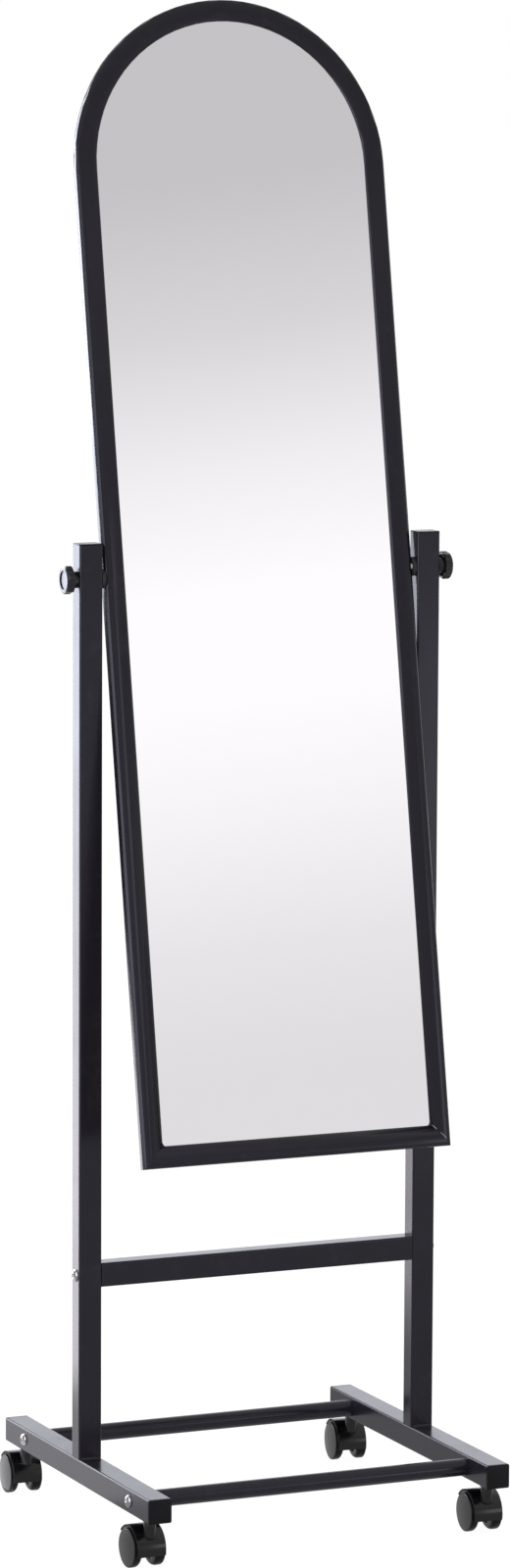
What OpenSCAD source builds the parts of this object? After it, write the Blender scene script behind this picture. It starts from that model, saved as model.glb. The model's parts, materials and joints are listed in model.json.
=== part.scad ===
// Rolling full-length mirror: an arched, framed mirror that tilts between
// two posts on a steel base with four twin-wheel casters.
// X is the width, +Y is the back, Z is up, and z = 0 is the floor.

/* [Stand] */
// Overall width of the stand over both posts
stand_w = 400; // [340:5:500]
// Outside size of the square foot rails, and the posts' width
tube = 25; // [20:1:30]
// Depth of the posts and of the crossbar, front to back
post_d = 20; // [16:1:24]
// Wall of the steel tubes
wall = 1.2; // [0.8:0.1:2]
// Outside corner radius of the square and flat tubes
tube_r = 1.8; // [1:0.1:2.5]
// Length of a foot rail over its end caps
rail_len = 388; // [330:2:460]
// Length of a post above the foot rail
post_h = 940; // [880:5:1100]
// Height of the crossbar's middle above the foot rails
bar_up = 191; // [100:1:220]
// Height of the weld seam at the foot of a post
weld = 2.5; // [1.5:0.5:4]

/* [Lower rods] */
// Diameter of the two round rods between the feet
rod_d = 18; // [14:1:22]
// Distance from a rail's end to a rod's middle
rod_in = 52; // [46:1:80]
// Length of the threaded plugs in the rods and the crossbar
plug_len = 14; // [12:1:24]

/* [Screws and caps] */
// Thread of the screws that hold the rods and the crossbar
screw_d = 6; // [4:0.5:8]
// Head of those screws
screw_head_d = 13.5; // [12:0.5:16]
// Height of a screw head
screw_head_h = 3.4; // [2.5:0.1:5]
// How far a screw reaches into its plug
screw_grip = 11; // [8:0.5:12]
// Thickness of the end cap that shows at a rail's end
rail_cap_t = 3; // [2:0.5:5]
// Thickness of the cap that shows on top of a post
post_cap_t = 1.5; // [1:0.5:4]
// Depth of the caps' plugs inside their tubes
cap_plug = 11; // [6:1:14]

/* [Mirror] */
// Full height of the framed mirror
mirror_len = 1184; // [1060:2:1300]
// Distance from the mirror's bottom edge up to the pivot
mirror_low = 597; // [540:1:640]
// Gap between the frame and a post on each side
side_gap = 4; // [3:0.5:10]
// How far the mirror leans back in the stored pose
tilt = 10.3; // [0:0.1:30]
// Width of the frame as seen from the front
frame_w = 23; // [20:0.5:30]
// Depth of the frame, front to back
frame_t = 11; // [10.5:0.5:14]
// Wall of the frame profile
frame_wall = 1.2; // [1:0.1:1.4]
// Depth of the rounded inner edge that laps over the glass
lip = 2.6; // [2:0.1:3]
// Thickness of the mirror glass
glass_t = 3; // [2:0.5:3.5]
// Thickness of the backing board
board_t = 3; // [2:0.5:3.4]
// How far the glass reaches in under the frame
glass_in = 6.5; // [4:0.5:8]
// Reach of a corner key into each frame member
key_len = 45; // [36:1:70]

/* [Pivot] */
// Distance from a post's top end down to the pivot
pivot_drop = 35; // [24:1:60]
// Thread of the clamping bolts
bolt_d = 6; // [5:0.5:6.5]
// Diameter over a knob's lobes
knob_d = 29.5; // [26:0.5:40]
// Length of a knob outward from the post
knob_len = 14; // [12:0.5:20]
// Diameter of a knob's neck
neck_d = 17; // [14:0.5:20]
// Length of a knob's neck
neck_len = 6; // [4:0.5:7]
// Number of lobes on a knob
lobes = 6; // [5:1:8]
// Diameter of the rubber spacer between frame and post
spacer_d = 20; // [14:0.5:24]

/* [Casters] */
// Wheel diameter
wheel_d = 40; // [36:1:46]
// Width of one wheel
wheel_w = 11; // [10:0.1:13]
// Space between the two wheels of a caster
wheel_gap = 15; // [13:0.5:17]
// Height from the wheels' top to the rail's underside
head_room = 13.5; // [12.5:0.5:18]
// How far the wheels trail behind the swivel
trail = 18; // [17:0.5:21]
// Distance from a rail's end to a caster's stem
caster_in = 27; // [26:1:34]
// Caster stem
stem_d = 8; // [6:0.5:9]
// Depth of the stem in the caster's hood
stem_grip = 10; // [8:0.5:10]
// Boss of the hood round the stem
boss_d = 12.5; // [12:0.1:12.8]
// Wheel axle
axle_d = 5; // [4:0.5:7]
// Wall of the hood over the wheels
hood_t = 2; // [1.2:0.1:2.5]
// Space between a wheel's tread and its hood
tread_play = 2; // [1:0.1:2.5]

/* [Hidden] */
$fn = 64;
run = 0.05;        // radial play of a turning or threaded fit
side_play = 0.2;   // play beside a part that turns
fit_play = 0.1;    // play of a plug in its tube
hole_play = 0.3;   // radial play of a screw in a plain hole
web_play = 1;      // space between a wheel and the hood's middle web
board_play = 0.2;  // space behind the backing board
edge_play = 1;     // space beyond the glass edge in its groove

sides = [-1, 1];
corners = ["fl", "fr", "rl", "rr"];
rail_z = wheel_d + head_room + tube / 2;
rail_low = wheel_d + head_room;
rail_top = rail_low + tube;
post_x = stand_w / 2 - tube / 2;
inner_x = stand_w / 2 - tube;
rod_y = rail_len / 2 - rod_in;
bar_z = rail_top + bar_up;
caster_y = rail_len / 2 - caster_in;
pivot_z = rail_top + post_h - pivot_drop;

half_w = inner_x - side_gap;               // half the mirror's width
r_in = half_w - frame_w;                   // frame's inner edge, and its arch
low_z = -mirror_low;                       // mirror's bottom edge from the pivot
arc_z = mirror_len - mirror_low - half_w;  // middle of the arch
groove = glass_in + edge_play;             // how far in the glass groove goes
groove_end = lip + glass_t + board_t + board_play;
nut_d = frame_t - 2 * frame_wall - 2 * fit_play;
nut_flange = 0.8;
nut_len = frame_w - groove - 2 * frame_wall - 1;

flange_t = 1.2;     // flange of the stem socket under the rail
flange_d = stem_d + 8;
socket_d = stem_d + 3;
socket_len = 14;
collar_t = 2;
collar_d = stem_d + 6;
swivel_play = 0.3;
boss_top = rail_low - flange_t - collar_t - swivel_play;
axle_z = wheel_d / 2;
well_r = wheel_d / 2 + tread_play;
hood_r = well_r + hood_t;
web_w = wheel_gap - 2 * web_play;
dome = 1.2;         // swell of a wheel's outer face
hood_inset = 1.3;   // how far a wheel's side stands out of the hood
hood_w = wheel_gap + 2 * (wheel_w - dome - hood_inset);
boss_low = axle_z + 14;     // lower end of the boss round the stem
boss_foot = 3;              // height of the taper under it
axle_len = wheel_gap + 2 * (wheel_w - 3.5);

// Place of corner c: left or right, front or rear, and the angle its caster has swung to
function side_of(c) = (c == "fl" || c == "rl") ? -1 : 1;
function end_of(c) = (c == "fl" || c == "fr") ? -1 : 1;
function swing_of(c) = c == "fl" ? 2 : c == "fr" ? -1.5 : c == "rl" ? -3 : -5.5;

// Rectangle with rounded corners about its middle
module round_rect(w, d, r) {
    square([w - 2 * r, d], center = true);
    square([w, d - 2 * r], center = true);
    for (i = sides, j = sides)
        translate([i * (w / 2 - r), j * (d / 2 - r)]) circle(r);
}

// Section of a tube w by d
module tube_section(w, d) {
    difference() {
        round_rect(w, d, tube_r);
        round_rect(w - 2 * wall, d - 2 * wall, max(tube_r - wall, 0.2));
    }
}

// Block that fills a tube w by d, with its play
module tube_plug(w, d, len) {
    linear_extrude(len)
        round_rect(w - 2 * wall - 2 * fit_play, d - 2 * wall - 2 * fit_play, 1);
}

// Cylinder along X from x = a to x = b
module x_rod(d, a, b) {
    translate([a, 0, 0]) rotate([0, 90, 0]) cylinder(d = d, h = b - a);
}

// ---- foot rails ----

module rail(s) {
    color([0.09, 0.09, 0.10])
    difference() {
        translate([s * post_x, rail_len / 2 - rail_cap_t, rail_z]) rotate([90, 0, 0])
            linear_extrude(rail_len - 2 * rail_cap_t) tube_section(tube, tube);
        for (e = sides) {
            translate([0, e * rod_y, rail_z])
                x_rod(screw_d + 2 * hole_play, s * post_x - tube, s * post_x + tube);
            translate([s * post_x, e * caster_y, rail_low - 1])
                cylinder(d = socket_d + 2 * fit_play, h = wall + 2);
        }
    }
}

module rail_cap(c) {
    e = end_of(c);
    color([0.10, 0.10, 0.11])
    translate([side_of(c) * post_x, e * rail_len / 2, rail_z]) rotate([90, 0, 0])
        mirror([0, 0, e > 0 ? 0 : 1]) {
            translate([0, 0, 0.8]) linear_extrude(rail_cap_t - 0.8)
                round_rect(tube, tube, tube_r);
            linear_extrude(0.8) round_rect(tube - 1.6, tube - 1.6, tube_r);
            translate([0, 0, rail_cap_t]) tube_plug(tube, tube, cap_plug);
        }
}

// ---- posts and crossbar ----

module post(s) {
    color([0.09, 0.09, 0.10])
    translate([s * post_x, 0, 0]) {
        difference() {
            translate([0, 0, rail_top]) linear_extrude(post_h) tube_section(tube, post_d);
            translate([0, 0, pivot_z]) x_rod(bolt_d + 2 * run, -tube, tube);
            translate([0, 0, bar_z]) x_rod(screw_d + 2 * hole_play, -tube, tube);
        }
        // weld seams along the front and the back of the foot
        for (e = sides)
            translate([-tube / 2 + tube_r, e * post_d / 2, rail_top]) rotate([90, 0, 90])
                linear_extrude(tube - 2 * tube_r)
                    polygon([[-e * 0.2, 0], [e * weld, 0], [e * weld * 0.85, weld * 0.35],
                             [e * weld * 0.4, weld * 0.85], [-e * 0.2, weld]]);
    }
}

module post_cap(s) {
    color([0.10, 0.10, 0.11])
    translate([s * post_x, 0, rail_top + post_h]) {
        linear_extrude(post_cap_t * 0.6) round_rect(tube, post_d, tube_r);
        translate([0, 0, post_cap_t * 0.6]) linear_extrude(post_cap_t * 0.4)
            round_rect(tube - 1, post_d - 1, tube_r);
        translate([0, 0, -cap_plug]) tube_plug(tube, post_d, cap_plug);
    }
}

module crossbar() {
    color([0.09, 0.09, 0.10])
    translate([-inner_x, 0, bar_z]) rotate([90, 0, 90])
        linear_extrude(2 * inner_x) tube_section(post_d, tube);
}

module bar_plug(s) {
    color([0.55, 0.56, 0.58])
    difference() {
        translate([s * inner_x, 0, bar_z]) rotate([90, 0, 90]) mirror([0, 0, s > 0 ? 1 : 0])
            tube_plug(post_d, tube, plug_len);
        translate([0, 0, bar_z]) x_rod(screw_d + 2 * run, -stand_w, stand_w);
    }
}

// Cross-slotted screw with a domed head that enters the stand's side at
// height z and depth y
slot_len = 6;       // length and width of the cross slots
slot_w = 1.3;
slot_deep = 1.9;
module side_screw(s, y, z) {
    color([0.78, 0.79, 0.80])
    translate([s * stand_w / 2, y, z]) rotate([0, s * 90, 0]) {
        difference() {
            rotate_extrude() polygon(concat([[0, 0]],
                [for (a = [0:10:90]) [screw_head_d / 2 * cos(a), screw_head_h * sin(a)]]));
            for (a = [0, 90]) rotate([0, 0, a])
                translate([-slot_len / 2, -slot_w / 2, screw_head_h - slot_deep])
                    cube([slot_len, slot_w, screw_head_h]);
        }
        translate([0, 0, -tube - screw_grip]) cylinder(d = screw_d, h = tube + screw_grip);
    }
}

// ---- lower rods: round tubes with a threaded plug welded in each end ----

module rod(e) {
    color([0.09, 0.09, 0.10])
    translate([0, e * rod_y, rail_z]) difference() {
        x_rod(rod_d, -inner_x, inner_x);
        x_rod(rod_d - 2 * wall, -inner_x + plug_len, inner_x - plug_len);
        x_rod(screw_d + 2 * run, -inner_x - 1, -inner_x + plug_len + 1);
        x_rod(screw_d + 2 * run, inner_x - plug_len - 1, inner_x + 1);
    }
}

// ---- casters ----

module at_stem(c) {
    translate([side_of(c) * post_x, end_of(c) * caster_y, 0])
        rotate([0, 0, swing_of(c)]) children();
}

module socket(c) {
    color([0.60, 0.61, 0.63])
    at_stem(c) translate([0, 0, rail_low]) difference() {
        union() {
            translate([0, 0, -flange_t]) cylinder(d = flange_d, h = flange_t);
            cylinder(d = socket_d, h = socket_len);
        }
        translate([0, 0, -flange_t - 1]) cylinder(d = stem_d + 2 * run, h = socket_len + 4);
    }
}

module stem(c) {
    color([0.70, 0.71, 0.72])
    at_stem(c) {
        translate([0, 0, rail_low - flange_t - collar_t]) cylinder(d = collar_d, h = collar_t);
        translate([0, 0, boss_top - stem_grip])
            cylinder(d = stem_d, h = rail_low + socket_len - 2 - boss_top + stem_grip);
    }
}

// Side view of the hood: all of the disc r but its lower back part
hood_lip = 5.5;     // how far its front edge reaches below the axle
hood_back = 6;      // where its back edge starts behind the axle
hood_slope = 61.3;  // and how steeply that edge rises
module hood_side(r) {
    top = 2 * r;
    intersection() {
        circle(r);
        polygon([[-top, -hood_lip], [hood_back, -hood_lip],
                 [hood_back + (top + hood_lip) / tan(hood_slope), top], [-top, top]]);
    }
}

module hood(c) {
    color([0.05, 0.05, 0.06])
    at_stem(c) difference() {
        union() {
            translate([0, trail, axle_z]) rotate([90, 0, 90]) {
                // shell over both wheels
                translate([0, 0, -hood_w / 2]) linear_extrude(hood_w)
                    difference() { hood_side(hood_r); circle(well_r); }
                // web between the wheels
                translate([0, 0, -web_w / 2]) linear_extrude(web_w) hood_side(well_r + 0.2);
            }
            // boss round the stem, clear of the wheels
            difference() {
                union() {
                    translate([0, 0, boss_low]) cylinder(d = boss_d, h = boss_top - boss_low);
                    translate([0, 0, boss_low - boss_foot])
                        cylinder(d1 = boss_d - 2 * boss_foot, d2 = boss_d, h = boss_foot);
                }
                translate([0, trail, axle_z]) x_rod(2 * well_r, -hood_w, hood_w);
            }
        }
        translate([0, 0, boss_top - stem_grip - 0.5])
            cylinder(d = stem_d + 2 * run, h = stem_grip + 2);
        translate([0, trail, axle_z]) x_rod(axle_d + 2 * run, -web_w, web_w);
    }
}

module axle(c) {
    color([0.70, 0.71, 0.72])
    at_stem(c) translate([0, trail, axle_z]) x_rod(axle_d, -axle_len / 2, axle_len / 2);
}

// Half section of a wheel: radius against distance from its inner face
tread_r = 4.5;      // rounding of the tread's inner edge
rim_r = 1;          // rounding of its outer edge
function wheel_section() = let (r = wheel_d / 2, b = axle_d / 2 + run, w = wheel_w - dome)
    concat([[b, 0]],
        [for (a = [0:15:90]) [r - tread_r + tread_r * sin(a), tread_r - tread_r * cos(a)]],
        [for (a = [0:22.5:90]) [r - rim_r + rim_r * cos(a), w - rim_r + rim_r * sin(a)]],
        [for (i = [1:6]) let (q = (r - rim_r) * (1 - i / 6))
            [q, w + dome * (1 - pow(q / (r - rim_r), 2))]],
        [[0, wheel_w - 3], [b, wheel_w - 3]]);

module wheel(c, s) {
    color([0.16, 0.16, 0.17])
    at_stem(c) translate([s * wheel_gap / 2, trail, axle_z]) rotate([0, s * 90, 0])
        rotate_extrude() polygon(wheel_section());
}

// ---- mirror, built upright about its pivot and then leaned back ----

module leaned() {
    translate([0, 0, pivot_z]) rotate([-tilt, 0, 0]) children();
}

// Frame section: u runs outward from the inner edge, v from front to back
shoulder = 5;       // width of the rounded inner edge
front_r = 2;
back_r = 1.5;
function frame_section() = concat(
    [for (a = [0:15:90]) [shoulder - (shoulder - 0.6) * cos(a), lip - lip * sin(a)]],
    [for (a = [0:22.5:90]) [frame_w - front_r + front_r * sin(a), front_r - front_r * cos(a)]],
    [for (a = [0:22.5:90]) [frame_w - back_r + back_r * cos(a),
                            frame_t - back_r + back_r * sin(a)]],
    [[groove - frame_wall, frame_t], [groove - frame_wall, groove_end + frame_wall - 0.2],
     [glass_in - 3.5, groove_end + frame_wall - 0.2], [glass_in - 3.5, groove_end],
     [groove, groove_end], [groove, lip]]);

// The same section with its hollow
module frame_profile() {
    difference() {
        polygon([for (p = frame_section()) [r_in + p[0], frame_t / 2 - p[1]]]);
        translate([r_in + groove + frame_wall, -frame_t / 2 + frame_wall])
            square([frame_w - groove - 2 * frame_wall, frame_t - 2 * frame_wall]);
    }
}

// Corner cut at 45 degrees, taken off below on side s
module mitre(s, keep_low) {
    rotate([90, 0, 0]) translate([0, 0, -frame_t]) linear_extrude(2 * frame_t)
        polygon(keep_low
            ? [[s * half_w, low_z], [s * (half_w - 2 * frame_w), low_z + 2 * frame_w],
               [s * (half_w + frame_w), low_z + 2 * frame_w], [s * (half_w + frame_w), low_z]]
            : [[s * half_w, low_z], [s * (half_w - 2 * frame_w), low_z + 2 * frame_w],
               [s * (half_w - 2 * frame_w), low_z - frame_w],
               [s * (half_w + frame_w), low_z - frame_w], [s * (half_w + frame_w), low_z]]);
}

module frame_arch() {
    color([0.10, 0.10, 0.11])
    leaned() difference() {
        union() {
            translate([0, 0, arc_z]) rotate([90, 0, 0])
                rotate_extrude(angle = 180, $fn = 128) frame_profile();
            for (s = sides) mirror([s > 0 ? 0 : 1, 0, 0])
                translate([0, 0, low_z]) linear_extrude(arc_z - low_z)
                    mirror([0, 1, 0]) frame_profile();
        }
        for (s = sides) {
            mitre(s, false);
            x_rod(nut_d + 2 * fit_play, s > 0 ? half_w - frame_wall - 1 : -half_w - 1,
                  s > 0 ? half_w + 1 : -half_w + frame_wall + 1);
        }
    }
}

module frame_bottom() {
    color([0.10, 0.10, 0.11])
    leaned() difference() {
        translate([-half_w, 0, low_z + half_w]) rotate([90, 90, 90])
            linear_extrude(2 * half_w) mirror([0, 1, 0]) frame_profile();
        for (s = sides) mitre(s, true);
    }
}

module corner_key(s) {
    a = r_in + groove + frame_wall + fit_play;
    b = half_w - frame_wall - fit_play;
    t = frame_t - 2 * frame_wall - 2 * fit_play;
    z0 = low_z + frame_wall + fit_play;
    color([0.62, 0.63, 0.65])
    leaned() difference() {
        union() {
            translate([s > 0 ? a : -b, -t / 2, z0]) cube([b - a, t, key_len]);
            translate([s > 0 ? b - key_len : -b, -t / 2, z0]) cube([key_len, t, b - a]);
        }
        // tapped holes for the two hidden set screws
        translate([s * (a + b) / 2, 0, z0 + key_len * 0.7]) rotate([90, 0, 0])
            cylinder(d = 4, h = 2 * t, center = true);
        translate([s * (b - key_len * 0.7), 0, z0 + (b - a) / 2]) rotate([90, 0, 0])
            cylinder(d = 4, h = 2 * t, center = true);
    }
}

// Arched plate between depths v and v + t, reaching g in under the frame
module arched_plate(v, t, g) {
    translate([0, v + t - frame_t / 2, 0]) rotate([90, 0, 0]) linear_extrude(t) {
        translate([0, arc_z]) circle(r_in + g, $fn = 128);
        translate([-r_in - g, low_z + frame_w - g])
            square([2 * (r_in + g), arc_z - low_z - frame_w + g]);
    }
}

module mirror_glass() {
    color([0.86, 0.88, 0.90]) leaned() arched_plate(lip, glass_t, glass_in);
}

module backing_board() {
    color([0.45, 0.34, 0.24]) leaned() arched_plate(lip + glass_t, board_t, glass_in);
}

// ---- pivot ----

module pivot_nut(s) {
    color([0.72, 0.70, 0.62])
    leaned() difference() {
        union() {
            x_rod(nut_d, s > 0 ? half_w - frame_wall - nut_len : -half_w,
                  s > 0 ? half_w : -half_w + frame_wall + nut_len);
            x_rod(nut_d + 2.4, s > 0 ? half_w : -half_w - nut_flange,
                  s > 0 ? half_w + nut_flange : -half_w);
        }
        x_rod(bolt_d + 2 * run, -stand_w, stand_w);
    }
}

// Rubber ring that fills the gap beside the frame, slightly barrelled
module spacer(s) {
    len = side_gap - side_play;
    o = spacer_d / 2;
    color([0.05, 0.05, 0.05])
    leaned() translate([s * half_w, 0, 0]) rotate([0, s * 90, 0]) difference() {
        rotate_extrude() polygon([[0, 0], [o - 0.5, 0], [o - 0.1, len * 0.25], [o, len * 0.5],
                                  [o - 0.1, len * 0.75], [o - 0.5, len], [0, len]]);
        translate([0, 0, -1]) cylinder(d = bolt_d + 2 * hole_play, h = len + 2);
        translate([0, 0, -1]) cylinder(d = nut_d + 2.4 + 2 * fit_play, h = nut_flange + 1);
    }
}

lobe_d = 9;         // diameter of one lobe of a knob
dish_d = 19.5;      // shallow round recess in a knob's outer face
dish_t = 1.2;
function knob_turn(s) = s < 0 ? 47 : 39;    // how far each knob stands turned

module knob(s) {
    r = knob_d / 2;
    top = knob_len - 2;
    color([0.07, 0.07, 0.08])
    translate([s * (stand_w / 2 + side_play), 0, pivot_z]) rotate([0, s * 90, 0])
    difference() {
        union() {
            cylinder(d = neck_d, h = neck_len);
            intersection() {
                translate([0, 0, neck_len]) linear_extrude(knob_len - neck_len) {
                    circle(r - 1.6);
                    for (i = [1:lobes]) rotate(knob_turn(s) + i * 360 / lobes)
                        translate([r - lobe_d / 2, 0]) circle(d = lobe_d);
                }
                union() {
                    translate([0, 0, neck_len]) cylinder(r1 = r - 1, r2 = r, h = 1.5);
                    translate([0, 0, neck_len + 1.5]) cylinder(r = r, h = top - neck_len - 1.5);
                    translate([0, 0, top]) cylinder(r1 = r, r2 = dish_d / 2 + 0.8,
                                                    h = knob_len - top);
                }
            }
        }
        translate([0, 0, knob_len - dish_t]) cylinder(d = dish_d, h = dish_t + 1);
        translate([0, 0, -1]) cylinder(d = bolt_d + 2 * run, h = knob_len - 2.5);
    }
}

// Bolt from inside the knob, through the post and spacer, into the frame's nut
module knob_bolt(s) {
    a = half_w - frame_wall - nut_len + 2;
    b = stand_w / 2 + side_play + knob_len - 4;
    color([0.70, 0.71, 0.72])
    translate([0, 0, pivot_z]) x_rod(bolt_d, s > 0 ? a : -b, s > 0 ? b : -a);
}

rail(-1);  // rail_left
rail(1);  // rail_right
rail_cap("fl");  // rail_cap_fl
rail_cap("fr");  // rail_cap_fr
rail_cap("rl");  // rail_cap_rl
rail_cap("rr");  // rail_cap_rr
post(-1);  // post_left
post(1);  // post_right
post_cap(-1);  // post_cap_left
post_cap(1);  // post_cap_right
crossbar();
bar_plug(-1);  // bar_plug_left
bar_plug(1);  // bar_plug_right
side_screw(-1, 0, bar_z);  // bar_screw_left
side_screw(1, 0, bar_z);  // bar_screw_right
rod(-1);  // rod_front
rod(1);  // rod_rear
side_screw(-1, -rod_y, rail_z);  // rod_screw_fl
side_screw(1, -rod_y, rail_z);  // rod_screw_fr
side_screw(-1, rod_y, rail_z);  // rod_screw_rl
side_screw(1, rod_y, rail_z);  // rod_screw_rr
socket("fl");  // socket_fl
socket("fr");  // socket_fr
socket("rl");  // socket_rl
socket("rr");  // socket_rr
stem("fl");  // stem_fl
stem("fr");  // stem_fr
stem("rl");  // stem_rl
stem("rr");  // stem_rr
hood("fl");  // hood_fl
hood("fr");  // hood_fr
hood("rl");  // hood_rl
hood("rr");  // hood_rr
axle("fl");  // axle_fl
axle("fr");  // axle_fr
axle("rl");  // axle_rl
axle("rr");  // axle_rr
wheel("fl", -1);  // wheel_fl_a
wheel("fl", 1);  // wheel_fl_b
wheel("fr", -1);  // wheel_fr_a
wheel("fr", 1);  // wheel_fr_b
wheel("rl", -1);  // wheel_rl_a
wheel("rl", 1);  // wheel_rl_b
wheel("rr", -1);  // wheel_rr_a
wheel("rr", 1);  // wheel_rr_b
frame_arch();
frame_bottom();
corner_key(-1);  // corner_key_left
corner_key(1);  // corner_key_right
mirror_glass();
backing_board();
pivot_nut(-1);  // pivot_nut_left
pivot_nut(1);  // pivot_nut_right
spacer(-1);  // spacer_left
spacer(1);  // spacer_right
knob(-1);  // knob_left
knob(1);  // knob_right
knob_bolt(-1);  // knob_bolt_left
knob_bolt(1);  // knob_bolt_right
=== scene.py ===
import bmesh
import bpy
import json
import math
from mathutils import Matrix, Quaternion, Vector


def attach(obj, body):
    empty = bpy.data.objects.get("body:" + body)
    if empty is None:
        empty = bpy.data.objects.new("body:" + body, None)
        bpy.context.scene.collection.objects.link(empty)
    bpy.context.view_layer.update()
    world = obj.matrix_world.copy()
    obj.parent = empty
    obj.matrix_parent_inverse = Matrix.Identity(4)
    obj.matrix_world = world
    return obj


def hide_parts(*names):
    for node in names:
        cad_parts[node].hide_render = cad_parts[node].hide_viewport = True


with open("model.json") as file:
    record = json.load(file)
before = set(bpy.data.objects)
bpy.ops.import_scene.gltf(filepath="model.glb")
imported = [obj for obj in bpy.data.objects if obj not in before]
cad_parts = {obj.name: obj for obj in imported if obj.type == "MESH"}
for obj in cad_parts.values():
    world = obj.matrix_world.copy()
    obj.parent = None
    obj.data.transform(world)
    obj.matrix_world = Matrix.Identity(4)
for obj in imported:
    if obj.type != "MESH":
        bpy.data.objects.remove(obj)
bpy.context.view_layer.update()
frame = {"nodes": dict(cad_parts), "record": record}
nodes = frame["nodes"]
corners = ["fl", "fr", "rl", "rr"]
bothSides = {"left": -1, "right": 1}
pivot, lean = 983.5, 10.3               # height of the mirror's pivot, and how far it leans back
mm = 0.001
weld = 0.004 * mm                       # points nearer than this become one
print("frame loaded:", len(nodes), "nodes")


# camera, as the photograph was taken: from the front left, a little above the middle

camera = {
    "azimuth": -23.81,                  # degrees from the front, negative is to the left
    "elevation": 7.75,
    "roll": 0.28,
    "distance": 6.555,
    "target": (-0.0024, 0.0, 0.7661),
    "sensor": 36.0,
    "lens": 147.05,
}


def placeCamera(spec):
    azimuth, elevation = math.radians(spec["azimuth"]), math.radians(spec["elevation"])
    back = Vector((math.sin(azimuth) * math.cos(elevation),
                   -math.cos(azimuth) * math.cos(elevation),
                   math.sin(elevation)))
    data = bpy.data.cameras.new("camera")
    data.sensor_fit = "VERTICAL"
    data.sensor_height = spec["sensor"]
    data.lens = spec["lens"]
    view = bpy.data.objects.new("camera", data)
    view.location = Vector(spec["target"]) + back * spec["distance"]
    turn = (-back).to_track_quat("-Z", "Y") @ Quaternion((0, 0, 1), math.radians(spec["roll"]))
    view.rotation_euler = turn.to_euler()
    bpy.context.scene.collection.objects.link(view)
    bpy.context.scene.camera = view


placeCamera(camera)
bpy.context.scene.view_settings.view_transform = "Standard"


# shader maths: sockets that take part in sums and products, and one method that adds any node

class Value:
    def __init__(self, shader, socket):
        self.shader = shader
        self.socket = socket

    def math(self, operation, first, second):
        return self.shader.node("ShaderNodeMath", {"operation": operation}, {0: first, 1: second})

    def __add__(self, other):
        return self.math("ADD", self, other)

    def __sub__(self, other):
        return self.math("SUBTRACT", self, other)

    def __rsub__(self, other):
        return self.math("SUBTRACT", other, self)

    def __mul__(self, other):
        return self.math("MULTIPLY", self, other)

    __radd__ = __add__
    __rmul__ = __mul__


class Shader:
    def __init__(self, owner):
        owner.use_nodes = True
        self.owner = owner
        self.tree = owner.node_tree

    def feed(self, socket, value):
        if isinstance(value, Value):
            self.tree.links.new(value.socket, socket)
        else:
            socket.default_value = value

    def node(self, kind, settings=None, sockets=None, output=0):
        made = self.tree.nodes.new(kind)
        for name, value in (settings or {}).items():
            if name == "stops":                       # a ramp's places and colours
                stops = made.color_ramp.elements
                while len(stops) < len(value):
                    stops.new(1.0)
                for stop, (place, colour) in zip(stops, value):
                    stop.position = place
                    stop.color = colour
            else:
                setattr(made, name, value)
        for name, value in (sockets or {}).items():
            self.feed(made.inputs[name], value)
        return Value(self, made.outputs[output]) if made.outputs else made

    def rays(self, *kinds):
        path = self.node("ShaderNodeLightPath").socket.node
        return [Value(self, path.outputs["Is %s Ray" % kind]) for kind in kinds]


class Finish(Shader):
    def __init__(self, name, **settings):
        super().__init__(bpy.data.materials.new(name))
        self.surface = self.tree.nodes["Principled BSDF"]
        self.place = self.node("ShaderNodeTexCoord", output="Object")
        for socket, value in settings.items():
            self.feed(self.surface.inputs[socket.replace("_", " ")], value)

    def noise(self, scale, detail, roughness=0.5, stretch=None):
        where = self.place
        if stretch:
            where = self.node("ShaderNodeMapping", {}, {"Vector": where, "Scale": stretch})
        return self.node("ShaderNodeTexNoise", {}, {
            "Vector": where, "Scale": scale, "Detail": detail, "Roughness": roughness}, "Fac")

    def band(self, value, low, high):
        return self.node("ShaderNodeMapRange", {"interpolation_type": "SMOOTHSTEP"}, {
            "Value": value, "From Min": low, "From Max": high})

    def mix(self, mask, first, second):
        return self.node("ShaderNodeMix", {"data_type": "RGBA"}, {
            0: mask, 6: first, 7: second}, 2)

    def bump(self, height, depth, strength):
        relief = self.node("ShaderNodeBump", {}, {
            "Height": height, "Distance": depth, "Strength": strength})
        self.feed(self.surface.inputs["Normal"], relief)

    def set(self, **links):
        for socket, value in links.items():
            self.feed(self.surface.inputs[socket.replace("_", " ")], value)


def grey(level, tint=(1.0, 1.0, 1.0)):
    return tuple(level * part for part in tint) + (1.0,)


# finishes: every noise is its scale and detail, some with roughness and stretch

coolBlack, inkBlack = (1.0, 0.93, 1.12), (1.04, 0.92, 1.28)
powder = {
    "tint": (0.96, 0.94, 1.06, 1.0),
    "peel": (900, 1.0),                 # orange peel, coarse and fine
    "grit": (2600, 1.0),
    "gritShare": 0.3,
    "cloud": (14, 3.0),                 # cloudy sheen, and how much it changes the gloss
    "cloudChange": 0.16,
    "dust": (55, 5.0, 0.65),            # a little dust: where it lies, how dull and how light it is
    "dustBand": (0.52, 0.78),
    "dustDull": 0.06,
    "dustLight": 1.5,
    "relief": (0.03 * mm, 0.35),        # depth and strength
}


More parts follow.
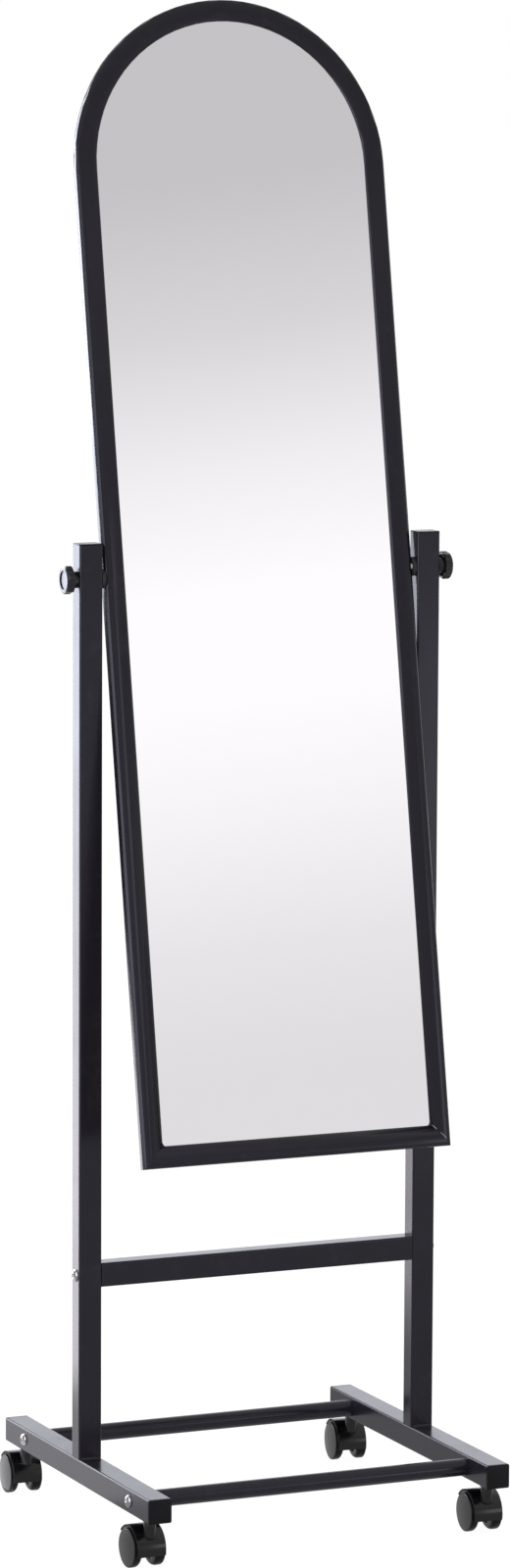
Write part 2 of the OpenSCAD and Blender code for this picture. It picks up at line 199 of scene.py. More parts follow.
def powderCoat(name, level, gloss, shine, spec=powder):
    coat = Finish(name, Specular_IOR_Level=shine, Specular_Tint=spec["tint"])
    fine = spec["gritShare"]
    peel = coat.noise(*spec["peel"]) * (1 - fine) + coat.noise(*spec["grit"]) * fine
    cloud = coat.noise(*spec["cloud"])
    dust = coat.band(coat.noise(*spec["dust"]), *spec["dustBand"])
    dark, light = grey(level, inkBlack), grey(level * spec["dustLight"], inkBlack)
    coat.set(Base_Color=coat.mix(dust, dark, light),
             Roughness=gloss + (cloud - 0.5) * spec["cloudChange"] + dust * spec["dustDull"])
    coat.bump(peel, *spec["relief"])
    return coat.owner


plastic = {
    "detail": 2.0,                      # of the grain
    "strength": 0.4,
    "patch": (60, 3.0),                 # faint patches, and the darkest and lightest of them
    "patches": (0.8, 1.25),
}


def mouldedPlastic(name, level, gloss, grain, depth, shine=0.3, change=0.12, spec=plastic):
    skin = Finish(name, Specular_IOR_Level=shine)
    texture = skin.noise(grain, spec["detail"])
    patch = skin.noise(*spec["patch"])
    dark, light = (grey(level * part, coolBlack) for part in spec["patches"])
    skin.set(Base_Color=skin.mix(patch, dark, light), Roughness=gloss + (patch - 0.5) * change)
    skin.bump(texture, depth, spec["strength"])
    return skin.owner


zinc = {
    "cloud": (220, 4.0, 0.6),
    "cloudDark": 0.82,
    "cloudChange": 0.12,
    "scratch": (900, 2.0, 0.5, (1.0, 0.12, 0.12)),
    "relief": (0.006 * mm, 0.3),
}


def zincPlate(name, colour, gloss, spec=zinc):
    plate = Finish(name, Metallic=1.0)
    cloud = plate.noise(*spec["cloud"])
    scratch = plate.noise(*spec["scratch"])
    dark = tuple(spec["cloudDark"] * part for part in colour)
    plate.set(Base_Color=plate.mix(cloud, dark + (1.0,), colour + (1.0,)),
              Roughness=gloss + (cloud - 0.5) * spec["cloudChange"])
    plate.bump(scratch, *spec["relief"])
    return plate.owner


rubber = {
    "shine": 0.3,
    "gloss": 0.62,
    "grain": (1800, 2.0),
    "grainChange": 0.2,
    "levels": (0.008, 0.016),
    "relief": (0.03 * mm, 0.5),
}


def dullRubber(name, spec=rubber):
    skin = Finish(name, Specular_IOR_Level=spec["shine"])
    grain = skin.noise(*spec["grain"])
    dark, light = (grey(level) for level in spec["levels"])
    skin.set(Base_Color=skin.mix(grain, dark, light),
             Roughness=spec["gloss"] + (grain - 0.5) * spec["grainChange"])
    skin.bump(grain, *spec["relief"])
    return skin.owner


silver = {
    "clean": (0.965, 0.937, 0.965, 1.0),
    "hazy": (0.955, 0.93, 0.958, 1.0),
    "haze": (7, 4.0, 0.6),
    "hazeBand": (0.45, 0.8),
    "hazeDull": 0.012,
}


def silvered(name, spec=silver):
    glass = Finish(name, Metallic=1.0)
    haze = glass.band(glass.noise(*spec["haze"]), *spec["hazeBand"])
    glass.set(Base_Color=glass.mix(haze, spec["clean"], spec["hazy"]),
              Roughness=haze * spec["hazeDull"])
    return glass.owner


board = {
    "shine": 0.25,
    "gloss": 0.58,
    "fibre": (260, 6.0, 0.7, (1.0, 1.0, 0.35)),
    "fibreChange": 0.2,
    "dark": (0.165, 0.106, 0.066, 1.0),
    "light": (0.262, 0.180, 0.117, 1.0),
    "fleck": (900, 3.0, 0.6),           # dark flecks: where they lie, how strong and what colour
    "fleckBand": (0.55, 0.75),
    "fleckShare": 0.35,
    "fleckColour": (0.075, 0.047, 0.028, 1.0),
    "relief": (0.08 * mm, 0.5),
}


def hardboard(name, spec=board):
    sheet = Finish(name, Specular_IOR_Level=spec["shine"])
    fibre = sheet.noise(*spec["fibre"])
    fleck = sheet.band(sheet.noise(*spec["fleck"]), *spec["fleckBand"])
    tone = sheet.mix(fibre, spec["dark"], spec["light"])
    sheet.set(Base_Color=sheet.mix(fleck * spec["fleckShare"], tone, spec["fleckColour"]),
              Roughness=spec["gloss"] + (fibre - 0.5) * spec["fibreChange"])
    sheet.bump(fibre, *spec["relief"])
    return sheet.owner


finishes = {
    "coated_steel": powderCoat("standCoat", 0.0085, 0.21, 0.27),
    "coated_frame": powderCoat("frameCoat", 0.0080, 0.2, 0.24),
    "cap_plastic": mouldedPlastic("capPlastic", 0.0042, 0.3, 1500, 0.02 * mm, 0.13),
    "knob_plastic": mouldedPlastic("knobPlastic", 0.008, 0.2, 900, 0.01 * mm),
    "hood_plastic": mouldedPlastic("hoodPlastic", 0.0020, 0.2, 700, 0.004 * mm, 0.38, 0.05),
    "wheel_plastic": mouldedPlastic("wheelPlastic", 0.0045, 0.22, 1800, 0.015 * mm, 0.48),
    # painted shade: a darker, duller finish for the hood's side bands, which are the same plastic
    # as the rest of the hood
    "hood_edge_painted_shade": mouldedPlastic("hoodEdgePaintedShade", 0.0015, 0.35, 700, 0.004 * mm, 0.04),
    # painted shade: the tread is coloured darker than the disc, standing for the shade under the
    # hood and the dark floor it reflects
    "tread_painted_shade": mouldedPlastic("treadPaintedShade", 0.0022, 0.3, 1200, 0.01 * mm, 0.16),
    "zinc_steel": zincPlate("zincPlate", (0.34, 0.34, 0.345), 0.15),
    "insert_steel": zincPlate("insertPlate", (0.74, 0.70, 0.58), 0.34),
    "spacer_rubber": dullRubber("spacerRubber"),
    "mirror_glass": silvered("silveredGlass"),
    "backing": hardboard("hardboard"),
}
slotOf = {part["node"]: part["material_slot"] for part in frame["record"]["subparts"]}
for name, node in nodes.items():
    node.data.materials.clear()
    node.data.materials.append(finishes[slotOf[name]])
print("finishes:", len(finishes))


# modelling: one primitive at a time, alone in the selection and shaped in edit mode

def clear():
    # back to object mode with nothing selected
    if bpy.context.mode != "OBJECT":
        bpy.ops.object.mode_set(mode="OBJECT")
    bpy.ops.object.select_all(action="DESELECT")


def start(name, add, **spec):
    clear()
    add(**spec)
    bpy.ops.object.transform_apply(location=True, rotation=True, scale=True)
    piece = bpy.context.active_object
    piece.name = piece.data.name = name
    bpy.ops.object.mode_set(mode="EDIT")
    return piece


def rod(name, low, high, radius, middle=(0.0, 0.0), axis="X", sides=96):
    # a cylinder between two places on its axis, in millimetres
    centre = [(low + high) / 2 * mm, middle[0] * mm, middle[1] * mm]
    if axis == "Z":
        centre = centre[1:] + centre[:1]
    turn = (0, math.pi / 2, 0) if axis == "X" else (0, 0, 0)
    return start(name, bpy.ops.mesh.primitive_cylinder_add, vertices=sides, radius=radius * mm,
                 depth=(high - low) * mm, location=centre, rotation=turn)


def pick(kind, test):
    # selects the faces or edges whose middle, in millimetres, and direction pass a test
    bpy.ops.mesh.select_mode(type=kind)
    bpy.ops.mesh.select_all(action="DESELECT")
    shape = bmesh.from_edit_mesh(bpy.context.edit_object.data)
    if kind == "FACE":
        found = [face for face in shape.faces if test(face.calc_center_median() / mm, face.normal)]
    else:
        ends = [(edge, edge.verts[0].co, edge.verts[1].co) for edge in shape.edges]
        found = [edge for edge, one, two in ends
                 if test((one + two) / 2 / mm, (two - one).normalized())]
    for part in found:
        part.select_set(True)
    shape.select_flush_mode()
    bmesh.update_edit_mesh(bpy.context.edit_object.data)


def bevelPicked(width, steps):
    bpy.ops.mesh.bevel(offset=width * mm, segments=steps, profile=0.5, affect="EDGES")


def insetPicked(width, rise=0.0):
    bpy.ops.mesh.inset(thickness=width * mm, depth=rise * mm, use_boundary=True)


def pushPicked(move, size=1.0, centre=(0.0, 0.0, 0.0)):
    # extrudes the picked faces by a move in millimetres and may widen or narrow their end
    bpy.ops.mesh.extrude_region_move(TRANSFORM_OT_translate={"value": [part * mm for part in move]})
    if size != 1.0:
        middle = [part * mm for part in centre]
        bpy.ops.transform.resize(value=(size, size, size), center_override=middle)


def halve(place, outward):
    # cuts the whole piece with a plane, drops the side that the plane faces and closes the cut
    bpy.ops.mesh.select_all(action="SELECT")
    bpy.ops.mesh.bisect(plane_co=[part * mm for part in place], plane_no=outward,
                        use_fill=True, clear_outer=True)


def paintPicked(piece, *slots):
    # gives the piece its finishes and the picked faces the last of them
    for slot in slots:
        piece.data.materials.append(finishes[slot])
    piece.active_material_index = len(slots) - 1
    bpy.ops.object.material_slot_assign()


def leave(piece):
    clear()
    bpy.context.view_layer.objects.active = piece
    piece.select_set(True)
    return piece


def merge(piece, tool, operation="DIFFERENCE"):
    # cuts a tool out of the piece, or joins it on, and uses the tool up
    leave(piece)
    change = piece.modifiers.new("merge", "BOOLEAN")
    change.operation, change.solver, change.object = operation, "EXACT", tool
    bpy.ops.object.modifier_apply(modifier=change.name)
    bpy.data.objects.remove(tool)


def smooth(piece, radius=0.0, steps=2, angle=32):
    # rounds what is still sharp, closes what that leaves open and shades the rest softly
    leave(piece)
    if radius:
        edge = piece.modifiers.new("round", "BEVEL")
        edge.width, edge.segments, edge.limit_method = radius * mm, steps, "ANGLE"
        edge.angle_limit = math.radians(angle)
        bpy.ops.object.modifier_apply(modifier=edge.name)
    bpy.ops.object.mode_set(mode="EDIT")
    bpy.ops.mesh.select_all(action="SELECT")
    bpy.ops.mesh.remove_doubles(threshold=weld)
    bpy.ops.mesh.dissolve_degenerate(threshold=weld)
    bpy.ops.mesh.fill_holes(sides=3)
    bpy.ops.mesh.normals_make_consistent(inside=False)
    leave(piece)
    bpy.ops.object.shade_smooth_by_angle(angle=math.radians(angle))


def stand(piece, name, move, body, slot, *hidden):
    # a copy with its own mesh, in its place on its body
    twin = piece.copy()
    twin.data = piece.data.copy()
    twin.name = twin.data.name = name
    twin.data.transform(move)
    if len(twin.data.materials) < 2:        # a piece of two finishes keeps its own
        twin.data.materials.clear()
        twin.data.materials.append(finishes[slot])
    bpy.context.scene.collection.objects.link(twin)
    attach(twin, body)
    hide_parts(*hidden)


def away(*pieces):
    for piece in pieces:
        bpy.data.objects.remove(piece)


def shift(x, y, z):
    return Matrix.Translation((x * mm, y * mm, z * mm))


def turned(degrees, axis):
    return Matrix.Rotation(math.radians(degrees), 4, axis)


def facing(side):
    # a piece is modelled for the right side and turned half round for the left
    return Matrix() if side > 0 else turned(180, "Z")


def sideOf(corner):
    return -1 if corner[1] == "l" else 1


def endOf(corner):
    return -1 if corner[0] == "f" else 1


def leaned():
    # from the mirror's own upright plane, measured from its pivot, to where it stands
    return shift(0, 0, pivot) @ turned(-lean, "X")


# casters: two wheels under one hood, modelled round a stem at the origin and swung as photographed

caster = {
    "wheel": 20.0,          # radius, and the faces' places along the axle
    "inner": 7.5,
    "outer": 17.3,
    "dome": 1.2,
    "tread": 4.5,           # rounding of the tread's inner and outer edges
    "rim": 1.0,
    "joint": (0.15, 0.12, 0.13, 0.25),  # fine joint between tyre and cover: widths and depth
    "coverSteps": 8,
    "hollow": (2.2, 0.8, 2.4),          # inner side: wall, slope and depth, then the hub in it
    "hub": (6.0, 0.4, 2.2),
    "trail": 18.0,
    "axleZ": 20.0,
    "hood": 24.0,           # the hood's outer and inner radius and its width
    "well": 22.0,
    "hoodWidth": 32.0,
    "hoodEdge": 1.0,        # rounding of its two side edges and of all others
    "hoodSoft": 0.35,
    "band": 1.2,            # width of the band along the sides that is painted darker: painted shade
    "web": 13.0,
    "lip": 14.5,            # height of the hood's front edge
    "rear": (24.0, 61.3),   # where the rear cut meets that height, and its slope
    "boss": 6.25,           # radius, lower end, taper below it and top with its rounding
    "bossLow": 34.0,
    "bossFoot": 3.0,
    "bossTop": 50.0,
    "bossEdge": 0.6,
    "stem": 4.05,
    "stemLow": 39.5,
    "swing": {"fl": 2.0, "fr": -1.5, "rl": -3.0, "rr": -5.5},
    "across": 187.5,        # the stems' places on the stand
    "along": 167.0,
}


def makeWheel(spec):
    centre = (spec["trail"], spec["axleZ"])
    inner, outer, radius = spec["inner"], spec["outer"], spec["wheel"]
    wheel = rod("wheel", inner, outer, radius, centre, sides=112)
    pick("EDGE", lambda spot, way: spot.x < inner + 0.1)
    bevelPicked(spec["tread"], 7)
    pick("EDGE", lambda spot, way: spot.x > outer - 0.1 and abs(way.x) < 0.5)
    bevelPicked(spec["rim"], 4)
    pick("FACE", lambda spot, way: way.x > 0.999)
    before, gap, after, deep = spec["joint"]
    insetPicked(before)
    insetPicked(gap, -deep)
    insetPicked(after, deep)
    reach = radius - spec["rim"]
    edge = cover = reach - before - gap - after
    for step in range(1, spec["coverSteps"]):       # gently domed cover
        rest = cover * (1 - step / spec["coverSteps"])
        rise = spec["dome"] * ((edge / reach) ** 2 - (rest / reach) ** 2)
        insetPicked(edge - rest, rise)
        edge = rest
    pick("FACE", lambda spot, way: way.x < -0.999)
    for (flat, slope, level), up in ((spec["hollow"], -1), (spec["hub"], 1)):
        insetPicked(flat)
        insetPicked(slope, up * level)
    # the tread faces take the darker finish: painted shade
    pick("FACE", lambda spot, way: abs(way.x) < 0.9 and math.hypot(
        spot.y - centre[0], spot.z - centre[1]) > radius - spec["tread"])
    paintPicked(wheel, "wheel_plastic", "tread_painted_shade")
    smooth(wheel)
    return wheel


def makeHood(spec):
    centre = (spec["trail"], spec["axleZ"])
    half = spec["hoodWidth"] / 2
    hood = rod("hood", -half, half, spec["hood"], centre, sides=144)
    pick("EDGE", lambda spot, way: abs(spot.x) > half - 0.1 and abs(way.x) < 0.5)
    bevelPicked(spec["hoodEdge"], 6)
    halve((0, 0, spec["lip"]), (0, 0, -1))
    slope = math.radians(spec["rear"][1])
    halve((0, spec["rear"][0], spec["lip"]), (0, math.sin(slope), -math.cos(slope)))
    for side in (-1, 1):
        low, high = sorted((side * spec["web"] / 2, side * (half + 5)))
        merge(hood, leave(rod("well", low, high, spec["well"], centre, sides=144)))
    boss = rod("boss", spec["bossLow"], spec["bossTop"], spec["boss"], axis="Z", sides=72)
    pick("FACE", lambda spot, way: way.z < -0.99)
    foot = spec["bossFoot"]
    pushPicked((0, 0, -foot), 1 - foot / spec["boss"], (0, 0, spec["bossLow"] - foot))
    pick("EDGE", lambda spot, way: spot.z > spec["bossTop"] - 0.1)
    bevelPicked(spec["bossEdge"], 3)
    merge(hood, leave(boss), "UNION")
    bore = rod("bore", spec["stemLow"], spec["bossTop"] + 2, spec["stem"], axis="Z", sides=64)
    merge(hood, leave(bore))
    smooth(hood, spec["hoodSoft"])
    bpy.ops.object.mode_set(mode="EDIT")
    # the side bands near the rim take the darker finish: painted shade, not a different plastic
    pick("FACE", lambda spot, way: abs(way.x) > 0.5 and abs(spot.x) > half - spec["band"])
    paintPicked(hood, "hood_plastic", "hood_edge_painted_shade")
    return leave(hood)


def makeCasters(spec):
    wheel, hood = makeWheel(spec), makeHood(spec)
    halfTurn = shift(0, spec["trail"], 0) @ turned(180, "Z") @ shift(0, -spec["trail"], 0)
    for corner in corners:
        seat = shift(spec["across"] * sideOf(corner), spec["along"] * endOf(corner), 0)
        stem = seat @ turned(spec["swing"][corner], "Z")
        stand(hood, "casterHood_" + corner, stem, "caster_" + corner, "hood_plastic",
              "hood_" + corner)
        for letter, side in (("a", halfTurn), ("b", Matrix())):
            name = "wheel_%s_%s" % (corner, letter)
            stand(wheel, "casterW" + name[1:], stem @ side, name, "wheel_plastic", name)
    away(wheel, hood)
    print("casters modelled")


makeCasters(caster)


# clamping knobs: a lobed grip with a dished face, a hollow back and a round neck

knob = {
    "radius": 14.75,        # over the lobes and between them
    "core": 13.15,
    "lobe": 4.5,
    "lobes": 6,
    "neck": 8.5,
    "neckEdge": 0.5,
    "grip": 6.0,            # where the grip begins along the knob, and the knob's length
    "length": 14.0,
    "rounding": 2.4,        # depth of the shoulder, and the radii that it and the dish end at
    "shoulderSteps": 6,
    "face": 10.6,
    "dish": 9.7,
    "dishDepth": 1.2,
    "dishWall": 0.25,
    "dishFloor": ((4.0, 0.12), (3.0, 0.05)),    # how the dish sinks on to its middle
    "backEdge": 1.0,
    "back": (3.5, 1.6),     # depth of the hollow back and its wall
    "bore": (3.05, 3.5),    # radius, and what is left before the face
    "soft": 0.3,
    "post": 200.2,
    "turn": {"left": 47.0, "right": 39.0},
}


def makeKnob(spec):
    low, high, radius = spec["grip"], spec["length"], spec["radius"]
    grip = rod("grip", low, high, spec["core"], sides=96)
    lobe = rod("lobe", low, high, spec["lobe"], (0.0, radius - spec["lobe"]), sides=48)
    bpy.ops.mesh.select_all(action="SELECT")
    bpy.ops.mesh.spin(steps=spec["lobes"], dupli=True, angle=2 * math.pi,
                      center=(0, 0, 0), axis=(1, 0, 0))
    bpy.ops.mesh.select_all(action="SELECT")
    bpy.ops.mesh.remove_doubles(threshold=0.01 * mm)
    merge(grip, leave(lobe), "UNION")
    form = rod("form", low, high - spec["rounding"], radius + 0.02, sides=96)
    pick("FACE", lambda spot, way: way.x > 0.99)
    last, height = radius, high - spec["rounding"]
    for step in range(spec["shoulderSteps"]):           # rounded shoulder
        angle = math.radians(90 / spec["shoulderSteps"] * (step + 1))
        reach = spec["face"] + (radius - spec["face"]) * math.cos(angle)
        level = high - spec["rounding"] * (1 - math.sin(angle))
        pushPicked((level - height, 0, 0), reach / last, (level, 0, 0))
        last, height = reach, level
    insetPicked(spec["face"] - spec["dish"])
    insetPicked(spec["dishWall"], -spec["dishDepth"])
    for narrower, deeper in spec["dishFloor"]:
        insetPicked(narrower, -deeper)
    pick("EDGE", lambda spot, way: spot.x < low + 0.1)
    bevelPicked(spec["backEdge"], 3)
    merge(grip, leave(form), "INTERSECT")
    deep, wall = spec["back"]
    merge(grip, leave(rod("hollow", low - 1, low + deep, spec["core"] - wall, sides=96)))
    neck = rod("neck", 0, high - spec["dishDepth"] - 1, spec["neck"], sides=72)
    pick("EDGE", lambda spot, way: spot.x < 0.1)
    bevelPicked(spec["neckEdge"], 2)
    merge(grip, leave(neck), "UNION")
    hole, left = spec["bore"]
    merge(grip, leave(rod("bore", -1, high - left, hole, sides=48)))
    smooth(grip, spec["soft"])
    return grip


def makeKnobs(spec):
    grip = makeKnob(spec)
    for name, side in bothSides.items():
        seat = shift(side * spec["post"], 0, pivot) @ facing(side)
        stand(grip, "grip_" + name, seat @ turned(spec["turn"][name], "X"),
              "knob_" + name[0], "knob_plastic", "knob_" + name)
    away(grip)
    print("knobs modelled")


makeKnobs(knob)


# side screws: a domed head with a cross recess on a plain shank

screw = {
    "head": 6.75,                   # radius and height of the head
    "height": 3.4,
    "brim": (0.995, 0.087),         # shares of the radius and the height where the dome begins
    "dome": (12, 20, 29, 38, 47, 56, 65, 74, 82),
    "slot": (7.6, 1.8, 2.1),        # length, width and depth of the recess
    "taper": 0.6,                   # how much narrower the recess is at its bottom
    "soft": 0.12,
    "shank": 3.0,                   # radius, rounding of its end and length
    "tip": 0.6,
    "reach": 36.0,
    "side": 200.0,                  # places of the screws on the stand
    "rodHeight": 66.0,
    "rodPlace": 142.0,
    "barHeight": 269.5,
    "turn": {"fl": 20, "fr": 51, "rl": 82, "rr": 113, "left": 64, "right": 12},
}


def makeScrew(spec):
    # along +X from the stand's side
    brim = last = spec["head"] * spec["brim"][0]
    height = spec["height"] * spec["brim"][1]
    head = rod("head", 0, height, brim, sides=72)
    pick("FACE", lambda spot, way: way.x > 0.999)
    for angle in spec["dome"]:
        reach = spec["head"] * math.cos(math.radians(angle))
        level = spec["height"] * math.sin(math.radians(angle))
        pushPicked((level - height, 0, 0), reach / last, (level, 0, 0))
        last, height = reach, level
    pick("FACE", lambda spot, way: way.x < -0.99)
    insetPicked(brim - spec["shank"])
    pushPicked((-spec["reach"], 0, 0))
    pick("EDGE", lambda spot, way: spot.x < -spec["reach"] + 0.1)
    bevelPicked(spec["tip"], 2)
    long, wide, deep = spec["slot"]
    floor = ((spec["height"] - deep) * mm, 0, 0)
    for angle in (0, 90):
        tool = start("slot", bpy.ops.mesh.primitive_cube_add, size=1,
                     location=(spec["height"] * mm, 0, 0), rotation=(math.radians(angle), 0, 0),
                     scale=(2 * deep * mm, wide * mm, long * mm))
        pick("FACE", lambda spot, way: way.x < -0.99)
        bpy.ops.transform.resize(value=(1, spec["taper"], spec["taper"]), center_override=floor)
        merge(head, leave(tool))
    smooth(head, spec["soft"], 2, 40)
    return head


def makeScrews(spec):
    head = makeScrew(spec)
    places = [("rod_screw_", corner, sideOf(corner), spec["rodPlace"] * endOf(corner),
               spec["rodHeight"]) for corner in corners]
    places += [("bar_screw_", name, side, 0, spec["barHeight"]) for name, side in bothSides.items()]
    for kind, name, side, depth, height in places:
        seat = shift(side * spec["side"], depth, height) @ facing(side)
        stand(head, "domed_" + kind + name, seat @ turned(spec["turn"][name], "X"),
              "stand", "zinc_steel", kind + name)
    away(head)
    print("screws modelled")


makeScrews(screw)


# caps: moulded plates with soft edges and a hollow plug in the tube

cap = {
    "rail": (25.0, 25.0, 3.0),      # width, height and thickness of what shows
    "post": (25.0, 20.0, 1.5),
    "corner": 1.8,                  # rounding of the corners and of the outer edge
    "edge": 0.3,
    "plug": 11.0,                   # its length, its wall and the floor under the plate
    "plugWall": 1.4,
    "plugFloor": 1.0,
    "inside": 1.35,                 # from the plate's edge in to the plug
    "railEnd": 194.0,
    "railHeight": 66.0,
    "across": 187.5,
    "postTop": 1018.5,
}


def makeCap(name, size, spec):
    # lies flat with its underside at z = 0 and its plug below
    wide, deep, thick = size
    plate = start(name, bpy.ops.mesh.primitive_cube_add, size=1, location=(0, 0, thick / 2 * mm),
                  scale=(wide * mm, deep * mm, thick * mm))
    pick("EDGE", lambda spot, way: abs(way.z) > 0.9)
    bevelPicked(spec["corner"], 5)
    pick("EDGE", lambda spot, way: spot.z > thick - 0.01)
    bevelPicked(spec["edge"], 4)
    pick("FACE", lambda spot, way: way.z < -0.99)
    insetPicked(spec["inside"])
    pushPicked((0, 0, -spec["plug"]))
    insetPicked(spec["plugWall"])
    pushPicked((0, 0, spec["plug"] - spec["plugFloor"]))
    smooth(plate)
    return plate


def makeCaps(spec):
    end = makeCap("endPlate", spec["rail"], spec)
    for corner in corners:
        back = endOf(corner)
        seat = shift(spec["across"] * sideOf(corner), back * (spec["railEnd"] - spec["rail"][2]),
                     spec["railHeight"])
        stand(end, "endCap_" + corner, seat @ turned(-90 * back, "X"), "stand", "cap_plastic",
              "rail_cap_" + corner)
    top = makeCap("topPlate", spec["post"], spec)
    for name, side in bothSides.items():
        stand(top, "topCap_" + name, shift(side * spec["across"], 0, spec["postTop"]), "stand",
              "cap_plastic", "post_cap_" + name)
    away(end, top)
    print("caps modelled")


makeCaps(cap)


# mirror frame: the tube's own shape with a fuller round along its outer front edge

surround = {
    "half": 171.0,              # half the width; the arch's centre and the bottom, from the pivot
    "arch": 416.0,
    "low": -597.0,
    "front": -5.5,
    "sharp": 2.0,               # radius of the edge before and after
    "round": 4.4,
}


def softenFrame(name, spec):
    tube = nodes[name].copy()
    tube.data = nodes[name].data.copy()
    tube.data.transform(leaned().inverted())
    bpy.context.scene.collection.objects.link(tube)
    leave(tube)
    bpy.ops.object.mode_set(mode="EDIT")
    bpy.ops.mesh.select_all(action="SELECT")
    bpy.ops.mesh.remove_doubles(threshold=0.001 * mm)
    shape = bmesh.from_edit_mesh(tube.data)
    more, limit = spec["round"] / spec["sharp"] - 1, spec["sharp"] + 0.01
    half, low, top = spec["half"], spec["low"], spec["arch"]
    for point in shape.verts:
        across, depth, up = point.co / mm
        outward = Vector((across, 0, max(up - top, 0)))
        inward, rise, deep = half - outward.length, up - low, depth - spec["front"]
        if deep > limit or min(inward, rise) > limit:
            continue
        move = Vector((0, deep * more, 0))
        if inward < limit:
            move -= outward.normalized() * inward * more
        if rise < limit:
            move.z += rise * more
        point.co += move * mm
    bmesh.update_edit_mesh(tube.data)
    smooth(tube)
    stand(tube, "soft_" + name, leaned(), "mirror", "coated_frame", name)
    away(tube)


for name in ("frame_arch", "frame_bottom"):
    softenFrame(name, surround)
print("frame softened")


# frame corners: ground weld beads on the mitres, the right ones bare zinc as a painted highlight,
# and a small round in the glass corners

seam = {
    "face": -5.5,               # front of the frame from its middle
    "beads": {                  # place across and up from the pivot, length, thickness and finish
        "left": ((-165.0, -591.0, 5.0, 1.1, "coated_frame"),),
        # the right beads are bare zinc so that they show bright: a painted highlight along the
        # right mitre
        "right": ((152.6, -576.6, 6.5, 0.55, "zinc_steel"),
                  (162.2, -585.6, 9.5, 0.5, "zinc_steel")),
    },
    "beadForm": ((0.36, 0.82), (0.45, 0.52), (0.5, 0.2)),   # shares of length and of thickness
    "flat": 0.55,               # and how flat it is
    "corner": (148.7, -574.7),  # where the frame's inner edges meet on the glass
    "round": 3.6,
    "lap": 0.8,                 # how far the round reaches under the frame
    "soft": 0.3,
    "depth": 1.5,
    "glass": -2.85,
}


def makeBead(length, thick, spec):
    bead = rod("bead", -length / 4, length / 4, thick, sides=20)
    for end in (-1, 1):
        pick("FACE", lambda spot, way: way.x * end > 0.99)
        last, place = 1.0, length / 4 * end
        for reach, size in spec["beadForm"]:
            far = reach * length * end
            pushPicked((far - place, 0, 0), size / last, (far, 0, 0))
            last, place = size, far
    bpy.ops.mesh.select_all(action="SELECT")
    bpy.ops.transform.resize(value=(1, spec["flat"], 1), center_override=(0, 0, 0))
    smooth(bead)
    return bead


def makeCornerRound(spec):
    # a square with a round bite out of it, flat on z = 0
    size, lap = spec["round"], spec["lap"]
    block = start("corner", bpy.ops.mesh.primitive_cube_add, size=1,
                  location=((lap - size) / 2 * mm, (size - lap) / 2 * mm, spec["depth"] / 2 * mm),
                  scale=((size + lap) * mm, (size + lap) * mm, spec["depth"] * mm))
    merge(block, leave(rod("bite", -1, spec["depth"] + 1, size, (-size, size), "Z", 48)))
    smooth(block, spec["soft"])
    return block


def makeSeams(spec):
    block = makeCornerRound(spec)
    for name, side in bothSides.items():
        for number, (across, up, length, thick, slot) in enumerate(spec["beads"][name]):
            bead = makeBead(length, thick, spec)
            seat = leaned() @ shift(across, spec["face"], up)
            stand(bead, "mitreBead_%s_%d" % (name, number + 1), seat @ turned(45 * side, "Y"),
                  "mirror", slot)
            away(bead)
        across, up = spec["corner"]
        seat = leaned() @ shift(side * across, spec["glass"], up) @ turned(90, "X")
        stand(block, "cornerRound_" + name, seat @ turned(0 if side > 0 else -90, "Z"),
              "mirror", "coated_frame")
    away(block)
    print("frame corners modelled")


makeSeams(seam)


# stage: a pale floor, a bright room and soft lights round the mirror

room = {
    "floorSize": 60.0,
    "floorWhite": 0.9,
    "floorShare": 0.9,        # how much of the floor's brightness is the plain background
    "floorGlow": 1.055,
    "mirrored": 0.56,         # how bright the floor is in reflections
    "belt": (                 # the room's brightness by height, from below the horizon to overhead
        (0.150, 0.737), (0.168, 0.80), (0.190, 0.93), (0.206, 1.0), (0.222, 1.0),
        (0.240, 0.885), (0.262, 0.68), (0.284, 0.558), (0.36, 0.558), (0.50, 0.86)),
    "roomGlow": 1.04,
}


def makeRoom(spec):
    bpy.ops.object.select_all(action="DESELECT")
    bpy.ops.mesh.primitive_plane_add(size=spec["floorSize"], location=(0, 0, 0))
    floor = bpy.context.active_object
    floor.name = "floor"
    paper = Shader(bpy.data.materials.new("paper"))
    paper.tree.nodes.clear()
    direct, glossy, through = paper.rays("Camera", "Glossy", "Transmission")
    seen = (direct + glossy + through) * spec["floorShare"]
    glow = (direct + (glossy + through) * spec["mirrored"]) * spec["floorGlow"]
    matte = paper.node("ShaderNodeBsdfDiffuse", {}, {"Color": grey(spec["floorWhite"])})
    plain = paper.node("ShaderNodeEmission", {}, {"Color": grey(1.0), "Strength": glow})
    shown = paper.node("ShaderNodeMixShader", {}, {0: seen, 1: matte, 2: plain})
    paper.node("ShaderNodeOutputMaterial", {}, {"Surface": shown})
    floor.data.materials.append(paper.owner)

    world = bpy.context.scene.world or bpy.data.worlds.new("room")
    bpy.context.scene.world = world
    sky = Shader(world)
    sky.tree.nodes.clear()
    direction = sky.node("ShaderNodeTexCoord", output="Generated")
    height = sky.node("ShaderNodeSeparateXYZ", {}, {0: direction}, "Z")
    stops = [(place, grey(level)) for place, level in spec["belt"]]
    belt = sky.node("ShaderNodeValToRGB", {"stops": stops}, {"Fac": height})
    [direct] = sky.rays("Camera")
    white = sky.node("ShaderNodeBackground", {}, {"Color": grey(1.0), "Strength": 1.0})
    lit = sky.node("ShaderNodeBackground", {}, {"Color": belt, "Strength": spec["roomGlow"]})
    sky.node("ShaderNodeOutputWorld", {}, {
        "Surface": sky.node("ShaderNodeMixShader", {}, {0: direct, 1: lit, 2: white})})


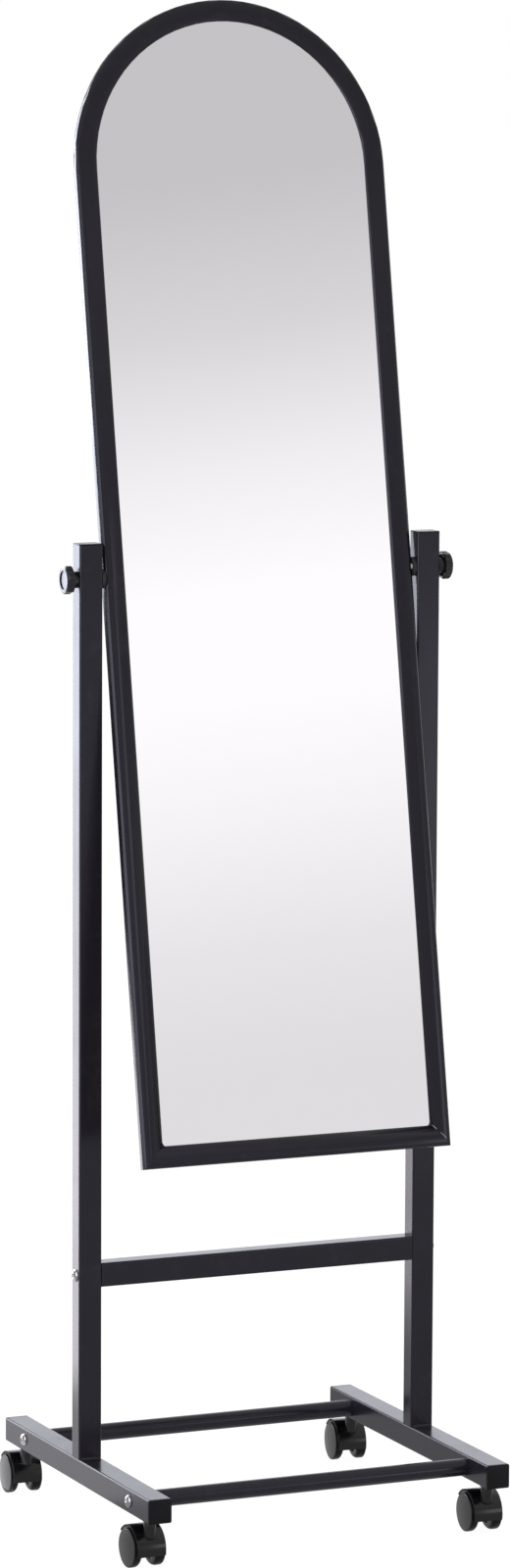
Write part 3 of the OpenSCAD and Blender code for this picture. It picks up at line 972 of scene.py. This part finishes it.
def softLight(name, size, place, aim, radiance, tint):
    data = bpy.data.lights.new(name, "AREA")
    data.shape = "RECTANGLE"
    data.size, data.size_y = size
    data.energy = radiance * math.pi * size[0] * size[1]
    data.color = tint
    lamp = bpy.data.objects.new(name, data)
    lamp.location = place
    lamp.rotation_euler = (Vector(aim) - Vector(place)).to_track_quat("-Z", "Y").to_euler()
    lamp.visible_camera = False
    bpy.context.scene.collection.objects.link(lamp)


skyTint, hazeTint, warmTint = (0.95, 1.0, 1.14), (0.99, 1.0, 1.09), (1.03, 1.0, 1.05)
lights = {      # size, place, aim, radiance and tint; the two on the floor shine up
    "rearTop": ((0.57, 0.95), (-0.715, 1.25, 1.475), (-0.1, 0.0, 1.3), 10.5, skyTint),
    "rearUpper": ((0.57, 0.38), (-0.715, 1.25, 0.81), (-0.1, 0.0, 0.8), 6.2, skyTint),
    "rearMiddle": ((0.57, 0.22), (-0.715, 1.25, 0.51), (-0.1, 0.0, 0.5), 5.4, hazeTint),
    "rearLower": ((0.57, 0.39), (-0.715, 1.25, 0.205), (-0.1, 0.0, 0.2), 5.0, warmTint),
    "floorNear": ((0.6, 0.52), (-0.5, 0.35, 0.004), (-0.5, 0.35, 1.0), 0.72, warmTint),
    "floorFar": ((0.8, 0.66), (-0.68, 0.94, 0.004), (-0.68, 0.94, 1.0), 4.0, warmTint),
    "backWall": ((3.2, 1.8), (1.1, 2.6, 0.92), (0.0, 0.0, 0.3), 0.95, skyTint),
    "leftWrap": ((0.5, 1.9), (-1.45, -0.38, 0.98), (0.0, 0.0, 0.8), 3.0, hazeTint),
    "frontLeft": ((0.8, 1.9), (-1.5, -1.35, 1.05), (0.0, 0.0, 1.05), 3.5, skyTint),
    "rightWrap": ((0.5, 1.9), (1.5, 0.35, 0.98), (0.0, 0.0, 0.8), 1.8, hazeTint),
    "frontRight": ((0.9, 0.6), (1.45, -2.3, 0.30), (0.2, 0.0, 0.6), 1.9, hazeTint),
}

makeRoom(room)
for name, settings in lights.items():
    softLight(name, *settings)
print("room and lights set")
